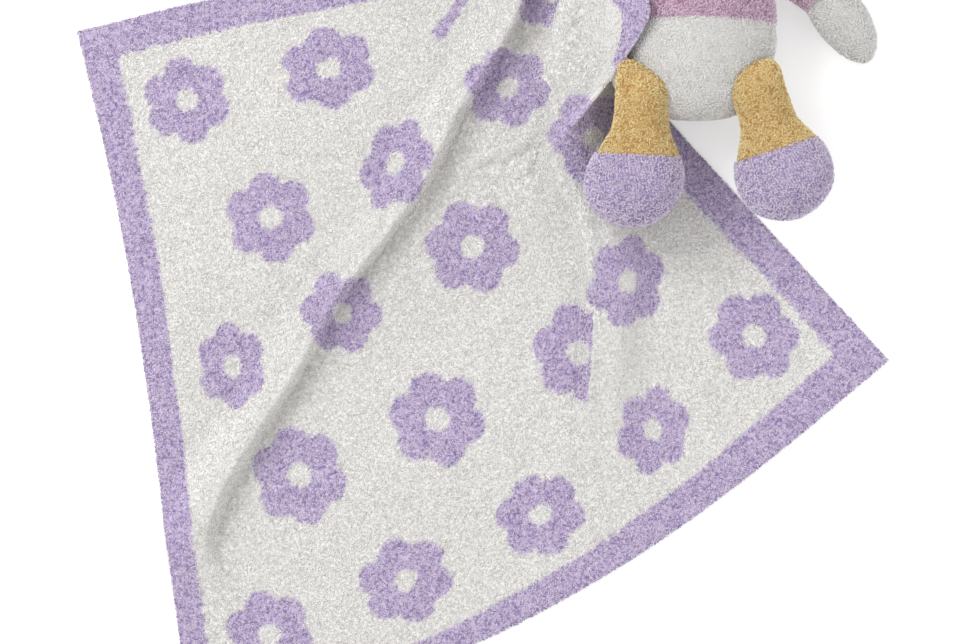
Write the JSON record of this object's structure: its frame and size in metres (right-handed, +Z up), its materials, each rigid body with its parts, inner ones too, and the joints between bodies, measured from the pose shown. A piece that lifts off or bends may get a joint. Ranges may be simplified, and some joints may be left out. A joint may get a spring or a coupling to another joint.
{
  "type": "comfort blanket with soft toy",
  "caption": "Soft knitted comfort blanket with a flower pattern, sewn by one corner to the hand of a stuffed bunny lying on its back.",
  "frame": {"origin": "on the surface that the part lies on, under the flat middle of the blanket", "axes": "+Z up, +Y from the bunny's feet to its ears, +X to the bunny's left side"},
  "size_m": [0.5531, 0.7281, 0.0978],
  "materials": {
    "knit_ivory": "matt chenille knit, ivory with a lavender border and flowers",
    "plush_white": "matt curly chenille plush",
    "plush_pink": "matt curly chenille plush",
    "plush_tan": "matt curly chenille plush",
    "plush_lavender": "matt curly chenille plush",
    "polyester_filling": "loose polyester fibre",
    "dark_thread": "embroidery thread with a soft sheen",
    "ivory_thread": "sewing thread"
  },
  "bodies": {
    "torso": {"torso_lower_cover": "plush_white", "jumper": "plush_pink", "torso_filling": "polyester_filling"},
    "head": {"head_cover": "plush_white", "head_filling": "polyester_filling", "left_eye": "dark_thread", "right_eye": "dark_thread", "nose": "dark_thread"},
    "left_ear": {"left_ear": "plush_white", "left_ear_lining": "plush_pink"},
    "right_ear": {"right_ear": "plush_white", "right_ear_lining": "plush_pink"},
    "left_arm": {"left_sleeve": "plush_pink", "left_hand": "plush_white", "left_arm_filling": "polyester_filling"},
    "right_arm": {"right_sleeve": "plush_pink", "right_hand": "plush_white", "right_arm_filling": "polyester_filling"},
    "blanket": {"blanket": "knit_ivory", "corner_tack": "ivory_thread"},
    "left_leg": {"left_leg": "plush_tan", "left_foot": "plush_lavender", "left_leg_filling": "polyester_filling"},
    "right_leg": {"right_leg": "plush_tan", "right_foot": "plush_lavender", "right_leg_filling": "polyester_filling"}
  },
  "joints": [
    {"name": "neck_turn", "type": "hinge", "parent": "torso", "child": "head", "pos_m": [0.1659, 0.345, 0.0468], "axis": [0, 1, 0], "range_deg": [-40, 40]},
    {"name": "left_ear_fold", "type": "hinge", "parent": "head", "child": "left_ear", "pos_m": [0.19315, 0.42488, 0.04779], "axis": [0.9848, -0.1736, 0], "range_deg": [0, 85]},
    {"name": "right_ear_fold", "type": "hinge", "parent": "head", "child": "right_ear", "pos_m": [0.13865, 0.42488, 0.04779], "axis": [0.9848, 0.1736, 0], "range_deg": [0, 85]},
    {"name": "left_shoulder_lift", "type": "hinge", "parent": "torso", "child": "left_arm", "pos_m": [0.2067, 0.302, 0.0625], "axis": [-0.166, -0.9861, 0], "range_deg": [0, 80]},
    {"name": "right_shoulder_swing", "type": "hinge", "parent": "torso", "child": "right_arm", "pos_m": [0.1305, 0.3377, 0.045], "axis": [0, 0, -1], "range_deg": [0, 10]},
    {"name": "blanket_swivel", "type": "hinge", "parent": "right_arm", "child": "blanket", "pos_m": [0.06381, 0.38133, 0.023], "axis": [0, 0, -1], "range_deg": [0, 20]},
    {"name": "left_hip_lift", "type": "hinge", "parent": "torso", "child": "left_leg", "pos_m": [0.1986, 0.2342, 0.077], "axis": [-0.9367, -0.3502, 0], "range_deg": [0, 85]},
    {"name": "right_hip_lift", "type": "hinge", "parent": "torso", "child": "right_leg", "pos_m": [0.1306, 0.2336, 0.077], "axis": [-0.999, 0.0436, 0], "range_deg": [0, 85]}
  ]
}
